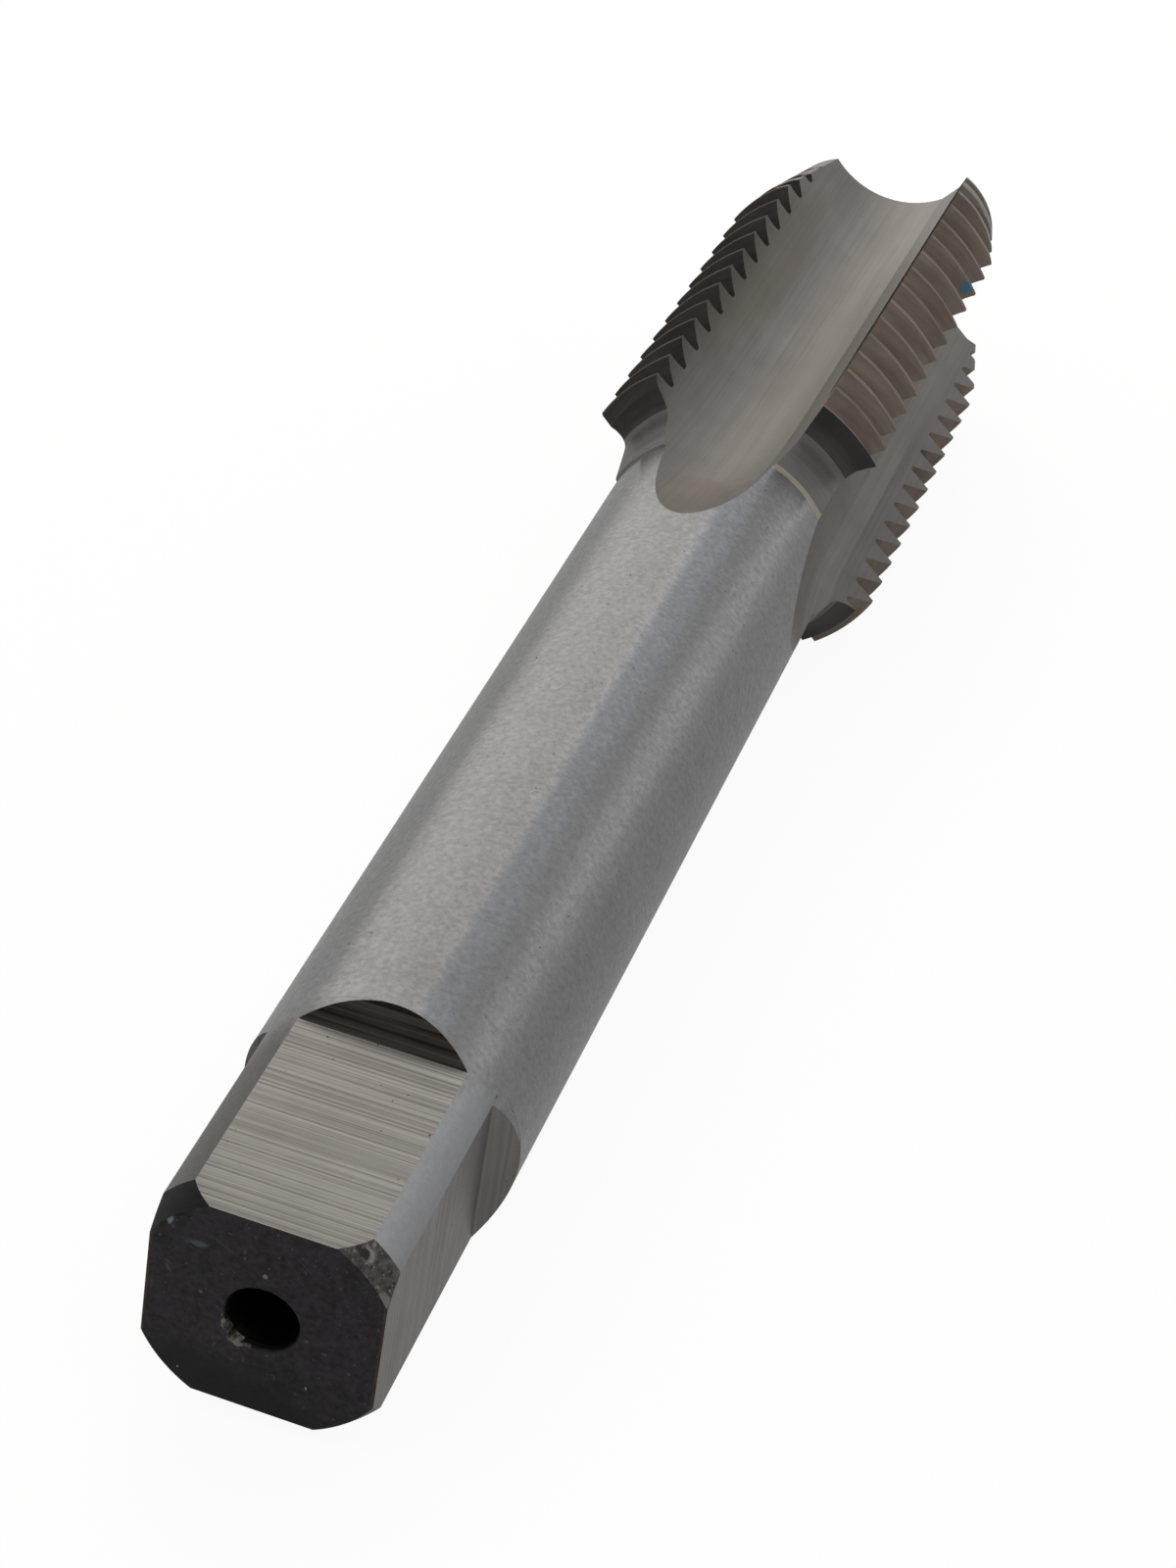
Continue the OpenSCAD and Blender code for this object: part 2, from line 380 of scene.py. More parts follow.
def place(x, r, angle):
    """Point at station x and radius r: the sine of the angle goes to -y, and its cosine to z.

    The angle is counted in degrees from the top flat towards the cutting side.
    """
    a = np.radians(angle)
    return np.stack([x + 0 * r, -r * np.sin(a), r * np.cos(a)], axis=-1)


def add_patch(points, kinds, along, across):
    """Keeps a grid of points, with a finish for each face and the lay's two coordinates."""
    rows, columns = points.shape[:2]
    kinds = np.broadcast_to(kinds, (rows - 1, columns - 1)).copy()
    patches.append((points, kinds, np.broadcast_to(along, (rows, columns)),
                    np.broadcast_to(across, (rows, columns))))


def outer_kinds(x, angle, land):
    """Finish of each face of a quarter: by row, with the ground chamfer picked out on the lands."""
    middle_x = (x[:-1, :-1] + x[1:, 1:]) / 2
    middle = (angle[:-1, :-1] + angle[1:, 1:]) / 2
    kinds = np.broadcast_to(ROWS["kind"][:-1, None], middle.shape).copy()
    # The painted highlight stays only on the quarter that faces the camera
    kinds[(kinds == HIGHLIGHT_LINE) & (land != 0)] = NECK
    kinds[(kinds == BROWN_LAND) & (land == 3)] = DARK_LAND
    on_land = (kinds == BROWN_LAND) | (kinds == DARK_LAND)
    ground = chamfer_radius(middle_x, middle, land) < thread_radius(middle_x, middle)
    kinds[on_land & ground] = CHAMFER
    return kinds


def outer_and_flutes():
    """Body, shoulder and lands between the flutes, and the four flutes themselves.

    A quarter's grid runs by rows along the axis, and by even steps of angle from a flute's cutting
    edge to the next flute's heel. A flute's grid steps by arc length from its heel to its crease,
    its knee and its cutting edge. The outline of the tip comes back as one loop of points.
    """
    heels = [flute_edges(q, -1) for q in range(4)]
    cuts = [flute_edges(q, 1) for q in range(4)]
    share = np.linspace(0, 1, OUTER_COLUMNS + 1)
    land_tips, flute_tips = [], []
    for q in range(4):
        start = cuts[q][2][:, None]
        end = heels[(q + 1) % 4][2][:, None] + (360 if q == 3 else 0)
        angle = start + (end - start) * share
        x = ROWS["x"][:, None] + helix_shift(angle, q)
        points = place(x, row_radius(x, angle, q), angle)
        add_patch(points, outer_kinds(x, angle, q), x, np.radians(angle) * SHANK_R)
        land_tips.append(points[-1][:-1])
    first = int(np.searchsorted(ROWS["x"], ROWS["nose_x"] - TINY))
    for q in range(4):
        heel_l, heel_x, _ = heels[q]
        cut_l, cut_x, _ = cuts[q]
        stops = [heel_l, np.minimum(CREASE_L, cut_l), np.minimum(KNEE_L, cut_l), cut_l]
        parts = []
        for a, b, n in zip(stops, stops[1:], (ARC_COLUMNS, HOOK_COLUMNS, FACE_COLUMNS)):
            t = np.linspace(0, 1, n + 1)[None, (1 if parts else 0):]
            parts.append(a[:, None] + (b - a)[:, None] * t)
        length = np.concatenate(parts, axis=1)
        span = np.maximum(cut_l - heel_l, TINY)[:, None]
        x = heel_x[:, None] + (cut_x - heel_x)[:, None] * (length - heel_l[:, None]) / span
        r, angle = flute_polar(length, x)
        points = place(x, r, angle + FLUTE_TURN + 90 * q)
        kinds = np.full((points.shape[0] - 1, points.shape[1] - 1), FLUTE)
        kinds[:, ARC_COLUMNS + HOOK_COLUMNS:] = FACE
        if q == 0:
            # From one place on this face carries a painted dark reflection, and before it the flute's
            # finish goes over it
            dark_reflection_rows = ROWS["x"][:-1] > DARK_REFLECTION_X
            kinds[~dark_reflection_rows] = FLUTE
            kinds[dark_reflection_rows, ARC_COLUMNS + HOOK_COLUMNS:] = DARK_FACE
        add_patch(points[first:], kinds[first:], x[first:], length[first:] + FLUTE_APART * q)
        flute_tips.append(points[-1][:-1])
    return np.concatenate([tip for pair in zip(flute_tips, land_tips) for tip in pair])


def square_end():
    """Square end: round corners between flats that run out in sloping walls, and the end's chamfer.

    In each section the radius is the lesser of the round blank and the square's half width over
    the cosine of the angle from the flat.
    """
    chamfer = np.linspace(0, END_CHAMFER, CHAMFER_ROWS + 1)
    flat = np.linspace(END_CHAMFER, FLAT_LENGTH, FLAT_ROWS + 1)[1:]
    wall = SQUARE_END - (SQUARE_END - FLAT_LENGTH) * np.linspace(1, 0, END_WALL_ROWS + 1)[1:]**2
    x = np.concatenate([chamfer, flat, wall])
    crown_x = (SHANK_R**2 + END_CHAMFER**2 - END_FACE_R**2) / (2 * END_CHAMFER)
    blank = np.where(x < END_CHAMFER, np.sqrt(np.maximum(
        END_FACE_R**2 + crown_x**2 - (x - crown_x)**2, 0)), SHANK_R)
    half = HALF_FLAT + np.maximum(x - FLAT_LENGTH, 0)
    corner = np.degrees(np.arccos(np.minimum(half / blank, 1)))
    kinds = np.full((len(x) - 1, 1), GROUND)
    flat_kinds = np.full((len(x) - 1, 1), MILLED)
    wall_row = CHAMFER_ROWS + FLAT_ROWS
    share = np.linspace(0, 1, OUTER_COLUMNS + 1)
    across = np.linspace(-1, 1, OUTER_COLUMNS + 1)
    rim = []
    for q in range(4):
        angle = np.degrees(np.arctan(np.tan(np.radians(corner))[:, None] * across))
        r = half[:, None] / np.cos(np.radians(angle))
        side = half[:, None] * np.tan(np.radians(angle))
        flats = place(x[:, None], r, angle + 90 * q)
        flat_kinds[:wall_row] = SIDE_WALL if q == 1 else MILLED
        flat_kinds[wall_row:] = SIDE_WALL if q == 1 else DARK_WALL
        kinds[:CHAMFER_ROWS] = WORN_CORNER if q == 0 else DARK_CORNER
        add_patch(flats, flat_kinds, x[:, None], side)
        angle = 90 * q + corner[:, None] + (90 - 2 * corner[:, None]) * share
        corners = place(x[:, None], np.broadcast_to(blank[:, None], angle.shape), angle)
        add_patch(corners, kinds, x[:, None], np.radians(angle) * SHANK_R)
        rim += [flats[0][:-1], corners[0][:-1]]
    return np.concatenate(rim + [rim[0][:1]])


def end_face(rim):
    """End face from the hole's drill point, up its wall and over its torn mouth to the rim.

    The mouth's radius grows by a bell curve of the angle round the tear, made ragged by two sines,
    and a thin lip of burr stands up there before the flat face begins.
    """
    angle = np.degrees(np.unwrap(np.arctan2(-rim[:, 1], rim[:, 2])))
    bell = np.exp(-((angle - TEAR_ANGLE + 180) % 360 - 180)**2 / (2 * (TEAR_HALF / 2)**2))
    ragged = 1 + 0.25 * np.sin(np.radians(angle * 9)) + 0.15 * np.sin(np.radians(angle * 23 + 40))
    tear = TEAR_DEPTH * bell * ragged
    point_x = DRIVE_HOLE_LENGTH + DRIVE_HOLE_R / np.tan(np.radians(DRILL_HALF))
    rings = [(point_x, 0, -DRIVE_HOLE_R, 0), (DRIVE_HOLE_LENGTH, 0, 0, 0), *MOUTH_RINGS]
    rows = [place(x + x_torn * tear, DRIVE_HOLE_R + wider + r_torn * tear, angle)
            for x, x_torn, wider, r_torn in rings]
    edge = rows[-1]
    rows += [edge + (rim - edge) * t for t in (*np.linspace(0, RIM_FROM, FACE_RINGS + 1)[1:], 1)]
    points = np.stack(rows)
    kinds = np.full((len(rows) - 1, len(angle) - 1), SCALE)
    # The lip is the ring that first stands out of the hole's wall
    lip = len(rings) - 4
    kinds[:lip] = BORE
    # Over the tear the lip's rings take the bright finish: torn burr, and partly a painted highlight
    # on the mouth's lit side
    kinds[lip:lip + 2, bell[:-1] > LIP_BELL] = BURR_AND_HIGHLIGHT
    # The hole's wall below the tear takes it too, as a painted highlight on the mouth's lit side
    kinds[lip - 1, bell[:-1] > WALL_BELL] = BURR_AND_HIGHLIGHT
    stained = np.abs((angle[:-1] % 180) - 90) < STAIN_HALF
    kinds[-1, stained] = STAIN
    add_patch(points, kinds, -points[..., 1], points[..., 2])


def tip_end(loop):
    """Tip's flat face filled between the outline and the countersink, which leads to a hole.

    The countersink is as deep as its widening over the tangent of its half angle, and the drill's
    point as deep as the hole's radius over the tangent of its own.
    """
    angle = np.linspace(0, 360, SINK_COLUMNS + 1)
    sink_x = LENGTH - (TIP_SINK_R - TIP_HOLE_R) / np.tan(np.radians(SINK_HALF))
    foot_x = sink_x - TIP_HOLE_LENGTH
    point_x = foot_x - TIP_HOLE_R / np.tan(np.radians(DRILL_HALF))
    rings = [(LENGTH, TIP_SINK_R), (sink_x, TIP_HOLE_R), (foot_x, TIP_HOLE_R), (point_x, 0)]
    points = np.stack([place(x, np.full(len(angle), float(r)), angle) for x, r in rings])
    add_patch(points, BORE, -points[..., 1], points[..., 2])
    ring = points[0][:-1]
    tri = np.array(tessellate_polygon([[Vector(p) for p in loop], [Vector(p) for p in ring]]))
    corners = np.concatenate([loop, ring])
    a, b, c = (corners[tri[:, i]] for i in range(3))
    turned = np.cross(b - a, c - a)[:, 0] < 0
    tri[turned] = tri[turned][:, ::-1]
    return corners, tri


def build_tap():
    """Joins the patches into one closed mesh in the row frame, with smooth and sharp edges."""
    loop = outer_and_flutes()
    end_face(square_end())
    tip_points, tip_faces = tip_end(loop)
    verts, faces, kinds, coords = [], [], [], []
    base = 0
    for points, kind, along, across in patches:
        rows, columns = points.shape[:2]
        index = base + np.arange(rows * columns).reshape(rows, columns)
        quads = np.stack([index[:-1, :-1], index[:-1, 1:], index[1:, 1:], index[1:, :-1]], axis=-1)
        verts.append(points.reshape(-1, 3))
        faces.append(quads.reshape(-1, 4))
        kinds.append(kind.ravel())
        coords.append(np.stack([along, across], axis=-1).reshape(-1, 2))
        base += rows * columns
    quads = np.concatenate(faces)
    coords = np.concatenate(coords + [np.stack([-tip_points[:, 1], tip_points[:, 2]], axis=-1)])
    points = np.concatenate(verts + [tip_points])
    mesh = bpy.data.meshes.new("tap_surface")
    mesh.from_pydata(to_row(points) * MM, [], quads.tolist() + (tip_faces + base).tolist())
    slots = np.concatenate(kinds + [np.full(len(tip_faces), TIP)]).astype(np.int32)
    mesh.polygons.foreach_set("material_index", slots)
    corner = np.zeros(len(mesh.loops), np.int32)
    mesh.loops.foreach_get("vertex_index", corner)
    layer = mesh.uv_layers.new(name="lay")
    layer.data.foreach_set("uv", (coords[corner] * MM).astype(np.float32).ravel())
    work = bmesh.new()
    work.from_mesh(mesh)
    bmesh.ops.remove_doubles(work, verts=work.verts, dist=WELD * MM)
    bmesh.ops.dissolve_degenerate(work, edges=work.edges, dist=SLIVER * MM)
    work.to_mesh(mesh)
    work.free()
    mesh.shade_smooth()
    mesh.set_sharp_from_angle(angle=radians(SHARP))
    return mesh


def to_row(points):
    """Tap frame to row frame: roll round the axis, tilt the tip up, and lift off the table."""
    roll, tilt = np.radians(REST_ROLL), np.radians(REST_TILT)
    rolled = np.array([[1, 0, 0], [0, np.cos(roll), -np.sin(roll)], [0, np.sin(roll), np.cos(roll)]])
    tilted = np.array([[np.cos(tilt), 0, -np.sin(tilt)], [0, 1, 0], [np.sin(tilt), 0, np.cos(tilt)]])
    return (points - [LENGTH / 2, 0, 0]) @ (tilted @ rolled).T + [0, 0, MID_HEIGHT]


def linear(hex_colour):
    """sRGB hex colour as linear red, green, blue and alpha.

    A channel up to 0.04045 is divided by 12.92. A higher one, plus 0.055 and over 1.055, is raised
    to the power 2.4.
    """
    values = np.array([int(hex_colour[i:i + 2], 16) for i in (1, 3, 5)]) / 255
    low = values / 12.92
    high = ((values + 0.055) / 1.055)**2.4
    return (*np.where(values <= 0.04045, low, high), 1.0)


def node(tree, kind, inputs=None, **settings):
    """Adds a shader node with its settings, and sets or links its inputs."""
    made = tree.nodes.new(kind)
    for name, value in settings.items():
        setattr(made, name, value)
    for name, value in (inputs or {}).items():
        socket = made.inputs[name]
        if isinstance(value, bpy.types.NodeSocket):
            tree.links.new(value, socket)
        else:
            socket.default_value = value
    return made


def spot(tree, vector, under, centre, half, turn, colour, strength=1.0):
    """Lays one ragged mark over a colour: an ellipsoid of half sizes, turned, in millimetres.

    The mark is whole where the distance from its middle, as a share of its half sizes, plus 1.2
    times noise is under 1.2, and it has faded out at 1.6.
    """
    local = node(tree, "ShaderNodeMapping", {
        "Vector": vector, "Location": tuple(c * MM for c in centre), "Rotation": (0, 0, radians(turn)),
        "Scale": tuple(h * MM for h in half)}, vector_type="TEXTURE")
    rag = node(tree, "ShaderNodeTexNoise", {
        "Vector": local.outputs[0], "Scale": 1.6, "Detail": 3.0, "Roughness": 0.7})
    reach = node(tree, "ShaderNodeVectorMath", {0: local.outputs[0]}, operation="LENGTH")
    uneven = node(tree, "ShaderNodeMath", {
        0: rag.outputs[0], 1: 1.2, 2: reach.outputs["Value"]}, operation="MULTIPLY_ADD")
    cover = node(tree, "ShaderNodeMapRange", {
        "Value": uneven.outputs[0], "From Min": 1.6, "From Max": 1.2, "To Max": strength})
    return node(tree, "ShaderNodeMix", {
        "Factor": cover.outputs[0], "A": under, "B": linear(colour)}, data_type="RGBA").outputs[2]


def worked_steel(name, dark, light, roughness, marks, span=(0.36, 0.64), metallic=1.0, brushed=0.0,
                 lengthwise=False, gloss=0.5, grit=0.0, clouds=0.2, relief=0.001, flecks=None,
                 spots=()):
    """Steel of two tones, mixed by worked marks of a length and width in millimetres.

    The marks run round the tap, or along the lay where lengthwise is set. span gives the noise
    values of the two tones, grit and clouds the shares of finer and broader noise, relief the
    height of the marks in millimetres, brushed how far they stretch a highlight, and gloss the
    specular level of what isn't bare metal. flecks gives the colour, rarity and size of scattered
    flecks, and spots the single marks, in the lay's places.

    Real grinding and milling marks are about 0.02 mm wide, too fine to show. They are drawn 0.065
    to 0.2 mm wide, as coarse as they need to show.
    """
    material = bpy.data.materials.new(name)
    material.use_nodes = True
    tree = material.node_tree
    tree.nodes.clear()
    lay = node(tree, "ShaderNodeUVMap", uv_map="lay").outputs[0]
    on_piece = node(tree, "ShaderNodeTexCoord").outputs["Object"]
    length, width = (m * MM for m in marks)
    if lengthwise:
        run = node(tree, "ShaderNodeMapping", {
            "Vector": lay, "Scale": (length, width, 1)}, vector_type="TEXTURE")
    else:
        run = node(tree, "ShaderNodeMapping", {
            "Vector": on_piece, "Rotation": (0, -radians(REST_TILT), 0),
            "Scale": (width, length, length)}, vector_type="TEXTURE")
    tone = node(tree, "ShaderNodeTexNoise", {
        "Vector": run.outputs[0], "Scale": 0.5, "Detail": 4.0, "Roughness": 0.65}).outputs[0]
    for share, size in ((clouds, CLOUD_SIZE), (grit, GRIT_SIZE)):
        if share:
            mottle = node(tree, "ShaderNodeTexNoise", {
                "Vector": on_piece, "Scale": 1 / (size * MM), "Detail": 2.0, "Roughness": 0.6})
            tone = node(tree, "ShaderNodeMix", {
                "Factor": share, "A": tone, "B": mottle.outputs[0]}, data_type="FLOAT").outputs[0]
    ramp = node(tree, "ShaderNodeValToRGB", {"Fac": tone})
    for stop, position, tint in zip(ramp.color_ramp.elements, span, (dark, light)):
        stop.position = position
        stop.color = linear(tint)
    colour = ramp.outputs["Color"]
    if flecks:
        fleck_colour, rarity, size = flecks
        scatter = node(tree, "ShaderNodeTexNoise", {
            "Vector": on_piece, "Scale": 0.5 / (size * MM), "Detail": 1.0, "Roughness": 0.5})
        shown = node(tree, "ShaderNodeMapRange", {
            "Value": scatter.outputs[0], "From Min": rarity, "From Max": rarity + 0.03})
        colour = node(tree, "ShaderNodeMix", {
            "Factor": shown.outputs[0], "A": colour, "B": linear(fleck_colour)},
            data_type="RGBA").outputs[2]
    for mark in spots:
        colour = spot(tree, lay, colour, *mark)
    bump = node(tree, "ShaderNodeBump", {"Strength": 1.0, "Distance": relief * MM, "Height": tone})
    polish = node(tree, "ShaderNodeMapRange", {
        "Value": tone, "From Min": 0.3, "From Max": 0.7,
        "To Min": roughness + 0.05, "To Max": roughness - 0.05})
    shader = node(tree, "ShaderNodeBsdfPrincipled", {
        "Base Color": colour, "Metallic": metallic, "Roughness": polish.outputs[0],
        "Specular IOR Level": gloss, "Normal": bump.outputs[0]})
    if brushed:
        shader.inputs["Anisotropic"].default_value = brushed
        shader.inputs["Anisotropic Rotation"].default_value = 0.25 if lengthwise else 0.0
        along = node(tree, "ShaderNodeTangent", direction_type="UV_MAP", uv_map="lay")
        tree.links.new(along.outputs[0], shader.inputs["Tangent"])
    node(tree, "ShaderNodeOutputMaterial", {"Surface": shader.outputs[0]})
    return material


# Single marks, as (centre, half sizes, turn, colour, strength), in millimetres and degrees of the lay:
# knocks, specks and scratches on the drive end's face
END_MARKS = [
    ((-4.70, 4.11, 0), (0.16, 0.30, 1), -8, "#6f8088"),
    ((-4.35, 4.55, 0), (0.55, 0.09, 1), 24, "#0c0a0a"),
    ((-3.33, 3.23, 0), (0.62, 0.20, 1), 8, "#4b5154"),
    ((-3.55, 3.05, 0), (0.30, 0.08, 1), -20, "#151314"),
    ((-0.08, 2.61, 0), (0.15, 0.15, 1), 0, "#77757a"),
    ((-3.69, -4.52, 0), (0.06, 0.06, 1), 0, "#9a9a98"),
    ((-4.62, 1.30, 0), (0.08, 0.30, 1), 28, "#4c4a4b"),
    ((-2.96, 0.46, 0), (0.10, 0.10, 1), 0, "#5e5b5c"),
    ((2.40, -3.22, 0), (0.06, 0.12, 1), 10, "#8e8e90"),
    ((4.36, 0.90, 0), (0.10, 0.10, 1), 0, "#060505"),
    ((-2.10, 3.60, 0), (0.05, 0.80, 1), 62, "#3d3c3f"),
    ((1.60, 4.00, 0), (0.04, 0.60, 1), 50, "#39373a"),
    ((-1.00, -3.00, 0), (0.04, 0.50, 1), -35, "#353335"),
]
# A pit with a bright lip, and a chipped edge, on the corner beside the camera's flat
CORNER_MARKS = [
    ((0.66, 4.76, 0), (0.34, 0.52, 1), 12, "#9b9996", 0.9),
    ((0.58, 4.60, 0), (0.28, 0.40, 1), 12, "#3b3938"),
    ((0.10, 7.00, 0), (0.28, 0.50, 1), 0, "#7f7d7a"),
]
# Painted shade, a darker brown tint, on the left corner of the square, and a painted highlight, a
# brighter tint, on the right one
SHANK_SHADE_AND_HIGHLIGHT = [
    ((5.0, 38.5, 0), (10.5, 3.4, 1), 0, "#585553", 0.95),
    ((6.0, 5.5, 0), (9.5, 3.0, 1), 0, "#929396", 0.8),
]
# Shade of the scale towards the face's lower left
FACE_SHADE = ((-2.5, -6.5, 0), (8.0, 4.4, 1), 0, "#121010", 0.9)
# Painted light, a brighter tint, on the right side of the camera's flute, and darker brown patches on
# its left and at its nose
FLUTE_HIGHLIGHT_AND_PATCHES = [
    ((90.0, 5.0, 0), (90.0, 5.0, 1), 0, "#7d7a75", 0.95),
    ((96.0, -4.9, 0), (14.0, 2.6, 1), 0, "#645d53", 0.6),
    ((66.0, 0.0, 0), (5.0, 3.2, 1), 0, "#645c50", 0.6),
]
# Where the painted dark reflection on the camera's cutting face fades out towards the shank
DARK_REFLECTION_FADE = ((79.5, 6.0, 0), (8.0, 4.0, 1), 0, "#6f6c66", 0.95)
# Blue speck of layout dye on a tooth
LAND_MARKS = [((99.7, 6.2, 0), (0.5, 0.3, 1), 0, "#5f8aa3")]


def tap_finishes():
    """One finish for each kind of surface, in the order of the slots.

    Bare steel keeps a metallic of 1. Scale and oxide lie over it, so theirs falls with their depth.
    """
    return [
        # Shank, ground round: an even satin grey, finely mottled, that stretches light lengthwise
        worked_steel("ground_hss_shank", "#7a7a7a", "#8a8a8a", 0.28, (0.2, 0.16), brushed=0.75,
                     grit=0.5, relief=0.0007, flecks=("#4a4846", 0.76, 0.14), spots=SHANK_SHADE_AND_HIGHLIGHT),
        # Flats of the square, milled across: warm light steel under dense fine dark lines
        worked_steel("milled_hss_flat", "#605d59", "#8d8b87", 0.34, (22, 0.065), span=(0.33, 0.60),
                     clouds=0.12, relief=0.001, flecks=("#4b4641", 0.77, 0.14)),
        # Sloping walls above and left of the square: the cutter left them deep, brown and streaked
        worked_steel("milled_hss_wall", "#292523", "#6f6863", 0.36, (16, 0.1), span=(0.44, 0.78),
                     clouds=0.1, relief=0.0015),
        # Flat and sloping wall at the right: the same marks in a paler, brownish tone on this side
        # only
        worked_steel("pale_side_hss_wall", "#64605d", "#7c7975", 0.38, (16, 0.1), clouds=0.3,
                     relief=0.001, flecks=("#3d3936", 0.74, 0.15)),
        # End face, left with its heat scale: a matt blue-black skin with pale specks and knocks
        worked_steel("heat_scale_end", "#161316", "#322e32", 0.46, (0.5, 0.5), metallic=0.6,
                     span=(0.38, 0.62), grit=0.5, clouds=0.3, relief=0.004,
                     flecks=("#454344", 0.70, 0.14), spots=[FACE_SHADE] + END_MARKS),
        # Corner chamfers, with the same scale over a coarser turned surface
        worked_steel("heat_scale_corner", "#131112", "#201d1e", 0.42, (0.5, 0.3), metallic=0.6,
                     grit=0.4, relief=0.004),
        # The corner that is knocked bright: a rough grey scuff with a pit
        worked_steel("scuffed_hss_corner", "#343231", "#74716e", 0.42, (0.25, 0.25), metallic=0.8,
                     grit=0.5, relief=0.01, flecks=("#8a8885", 0.64, 0.1), spots=CORNER_MARKS),
        # Brown stain where the scale ends at the milled flats
        worked_steel("stained_hss_rim", "#2e241f", "#4a3a31", 0.45, (0.5, 0.3), metallic=0.6),
        # Burr torn out of the centre hole's mouth: crumpled bright steel, partly a painted highlight
        # on the mouth's lit side
        worked_steel("torn_burr_and_lit_mouth", "#3b3631", "#a9a296", 0.35, (0.5, 0.12), span=(0.45, 0.66),
                     grit=0.4, relief=0.02),
        # Neck, turned and then darkened in hardening: smooth mid grey oxide
        worked_steel("oxide_hss_neck", "#716f6e", "#807e7c", 0.5, (3, 0.2), metallic=0.7),
        # Painted highlight on the narrow edge where the grinding wheel left the shank
        worked_steel("highlight_hss_edge", "#a59e90", "#c4bdae", 0.30, (3, 0.2)),
        # Shoulder, in the same oxide but deeper: dull dark grey
        worked_steel("oxide_hss_shoulder", "#403e3d", "#535150", 0.55, (3, 0.2), metallic=0.5),
        # Teeth of one land, darker than the others: dull brown-black
        worked_steel("oxide_hss_teeth", "#45403d", "#5a5451", 0.65, (4, 0.2), metallic=0.1,
                     gloss=0.15),
        # Teeth of the other lands, tempered: dull brown straw oxide
        worked_steel("straw_hss_teeth", "#86796d", "#a99b90", 0.62, (4, 0.2), metallic=0.15,
                     gloss=0.15, clouds=0.4, spots=LAND_MARKS),
        # Lead chamfer of the lands, ground round: bright smooth steel with a soft highlight
        worked_steel("ground_hss_chamfer", "#6c6a67", "#8a8784", 0.40, (3, 0.15), brushed=0.4),
        # Flutes, ground lengthwise: faint fine streaks, and painted light on the camera's flute's
        # right side
        worked_steel("ground_hss_flute", "#66635f", "#73706b", 0.46, (7, 0.1), lengthwise=True,
                     brushed=0.5, clouds=0.4, relief=0.0006, span=(0.3, 0.7), spots=FLUTE_HIGHLIGHT_AND_PATCHES),
        # Cutting faces, ground with the flutes: the same streaks, a shade darker
        worked_steel("ground_hss_face", "#5e5b58", "#6b6763", 0.44, (7, 0.1), lengthwise=True,
                     brushed=0.5, clouds=0.4, relief=0.0006, span=(0.3, 0.7)),
        # Painted dark reflection on the camera's cutting face: nearly black, and dull
        worked_steel("dark_reflection_hss_face", "#312f2c", "#3e3c38", 0.6, (7, 0.2), lengthwise=True,
                     metallic=0.0, gloss=0.0, clouds=0.4, relief=0.0006, spots=[DARK_REFLECTION_FADE]),
        # Flat tip, ground: plain light grey
        worked_steel("ground_hss_tip", "#76736f", "#95918b", 0.40, (6, 0.2), relief=0.001),
        # Centre holes, drilled and then scaled in hardening: nearly black inside, partly as painted
        # shade in the holes
        worked_steel("scale_and_shade_hss_hole", "#0c0b0b", "#171515", 0.5, (2, 0.2), metallic=0.6),
    ]


tap_mesh = build_tap()
tap = bpy.data.objects.new("tap_ground", tap_mesh)
bpy.context.scene.collection.objects.link(tap)
for finish in tap_finishes():
    tap_mesh.materials.append(finish)
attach(tap, "root")
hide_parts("tap")


def white_table():
    """White table: nearly white to the camera, with a faint shadow, and a soft grey in reflections."""
    half = TABLE_HALF
    mesh = bpy.data.meshes.new("table")
    mesh.from_pydata([(-half, -half, 0), (half, -half, 0), (half, half, 0), (-half, half, 0)], [],
                     [(0, 1, 2, 3)])
    table = bpy.data.objects.new("table", mesh)
    bpy.context.scene.collection.objects.link(table)
    material = bpy.data.materials.new("white_paper")
    material.use_nodes = True
    tree = material.node_tree
    tree.nodes.clear()
    path = node(tree, "ShaderNodeLightPath")
    mirrored = node(tree, "ShaderNodeMath", {
        0: path.outputs["Is Glossy Ray"], 1: path.outputs["Is Transmission Ray"]}, operation="MAXIMUM")
    mirrored_share = node(tree, "ShaderNodeMath", {
        0: mirrored.outputs[0], 1: TABLE_MIRRORED}, operation="MULTIPLY")
    seen_share = node(tree, "ShaderNodeMath", {
        0: path.outputs["Is Camera Ray"], 1: TABLE_SEEN}, operation="MULTIPLY")
    share = node(tree, "ShaderNodeMath", {
        0: mirrored_share.outputs[0], 1: seen_share.outputs[0]}, operation="MAXIMUM")
    paper = node(tree, "ShaderNodeBsdfDiffuse", {"Color": linear("#f4f4f4")})
    glow = node(tree, "ShaderNodeEmission", {"Color": (1, 1, 1, 1), "Strength": TABLE_GLOW})
    mixed = node(tree, "ShaderNodeMixShader", {
        0: share.outputs[0], 1: paper.outputs[0], 2: glow.outputs[0]})
    node(tree, "ShaderNodeOutputMaterial", {"Surface": mixed.outputs[0]})
    mesh.materials.append(material)


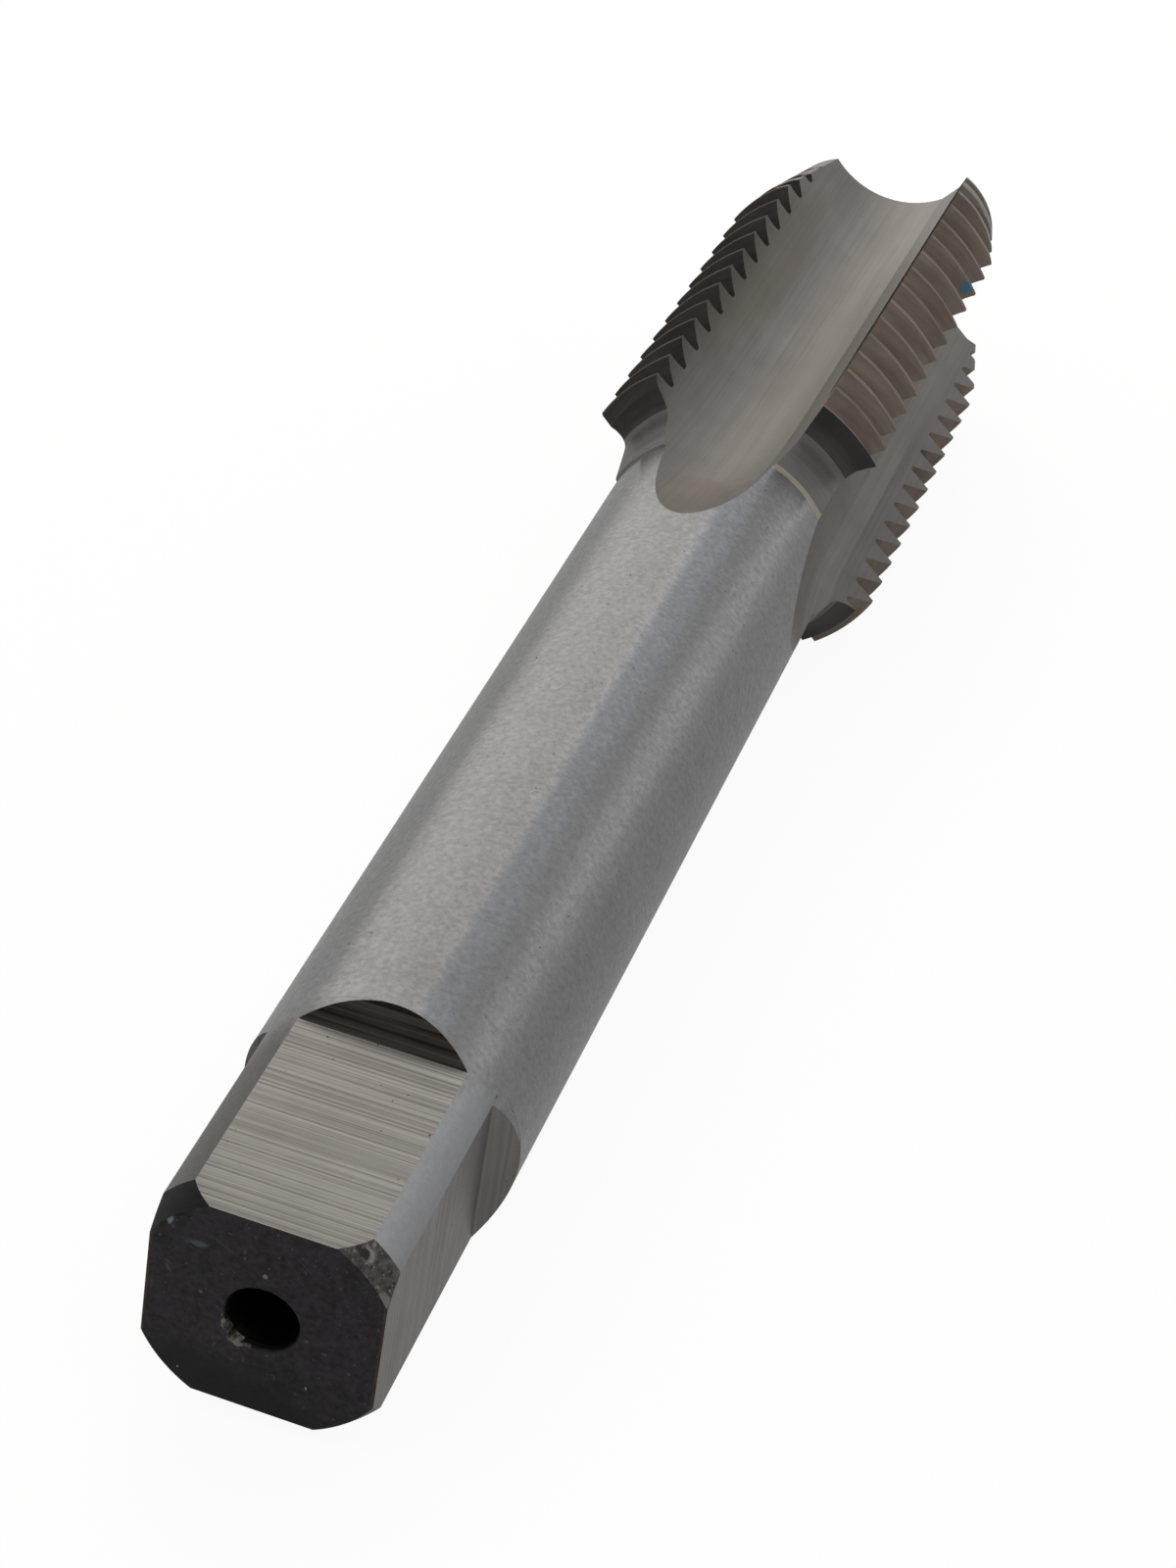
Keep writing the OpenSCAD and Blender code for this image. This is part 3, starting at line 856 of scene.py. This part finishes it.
def studio_world():
    """Room: white to the camera, and a grey that brightens towards the white wall behind the tap.

    Glossy and transmission rays see that wall. It fades in as the x of the ray's direction goes
    from -WALL_FADE to WALL_FADE.
    """
    world = bpy.data.worlds.new("studio")
    bpy.context.scene.world = world
    world.use_nodes = True
    tree = world.node_tree
    tree.nodes.clear()
    path = node(tree, "ShaderNodeLightPath")
    heading = node(tree, "ShaderNodeTexCoord")
    axes = node(tree, "ShaderNodeSeparateXYZ", {0: heading.outputs["Generated"]})
    wall = node(tree, "ShaderNodeMapRange", {
        "Value": axes.outputs["X"], "From Min": -WALL_FADE, "From Max": WALL_FADE,
        "To Max": WALL_MIRRORED}, interpolation_type="SMOOTHSTEP")
    mirrored = node(tree, "ShaderNodeMath", {
        0: path.outputs["Is Glossy Ray"], 1: path.outputs["Is Transmission Ray"]}, operation="MAXIMUM")
    seen_wall = node(tree, "ShaderNodeMath", {
        0: mirrored.outputs[0], 1: wall.outputs[0]}, operation="MULTIPLY")
    share = node(tree, "ShaderNodeMath", {
        0: path.outputs["Is Camera Ray"], 1: seen_wall.outputs[0]}, operation="MAXIMUM")
    room = node(tree, "ShaderNodeBackground", {"Color": linear("#ffffff"), "Strength": ROOM_STRENGTH})
    white = node(tree, "ShaderNodeBackground", {"Color": (1, 1, 1, 1), "Strength": 1.0})
    mixed = node(tree, "ShaderNodeMixShader", {
        0: share.outputs[0], 1: room.outputs[0], 2: white.outputs[0]})
    node(tree, "ShaderNodeOutputWorld", {"Surface": mixed.outputs[0]})


def soft_light(name, position, size, power, colour):
    """Square soft box at a place in millimetres, turned to the tap."""
    data = bpy.data.lights.new(name, "AREA")
    data.shape = "SQUARE"
    data.size = size * MM
    data.energy = power
    data.color = linear(colour)[:3]
    lamp = bpy.data.objects.new(name, data)
    bpy.context.scene.collection.objects.link(lamp)
    turn = Vector(position).to_track_quat("Z", "Y").to_matrix().to_4x4()
    lamp.matrix_world = Matrix.Translation(Vector(position) * MM) @ turn


def photo_camera():
    """Camera at the photograph's place, direction and field of view."""
    heading, fall, roll = radians(CAMERA_HEADING), radians(CAMERA_FALL), radians(CAMERA_ROLL)
    forward = Vector((cos(heading) * cos(fall), sin(heading) * cos(fall), -sin(fall)))
    level = forward.cross(Vector((0, 0, 1))).normalized()
    upright = level.cross(forward)
    right = cos(roll) * level + sin(roll) * upright
    up = right.cross(forward)
    data = bpy.data.cameras.new("photo")
    data.sensor_width = SENSOR
    data.lens = SENSOR * CAMERA_FOCAL / PHOTO_HEIGHT
    data.clip_start = 0.01
    camera = bpy.data.objects.new("photo", data)
    bpy.context.scene.collection.objects.link(camera)
    turn = Matrix((right, up, -forward)).transposed()
    camera.matrix_world = Matrix.Translation(Vector(CAMERA_AT) * MM) @ turn.to_4x4()
    bpy.context.scene.camera = camera


white_table()
studio_world()
for box in LAMPS:
    soft_light(*box)
photo_camera()
bpy.context.scene.view_settings.view_transform = "Standard"
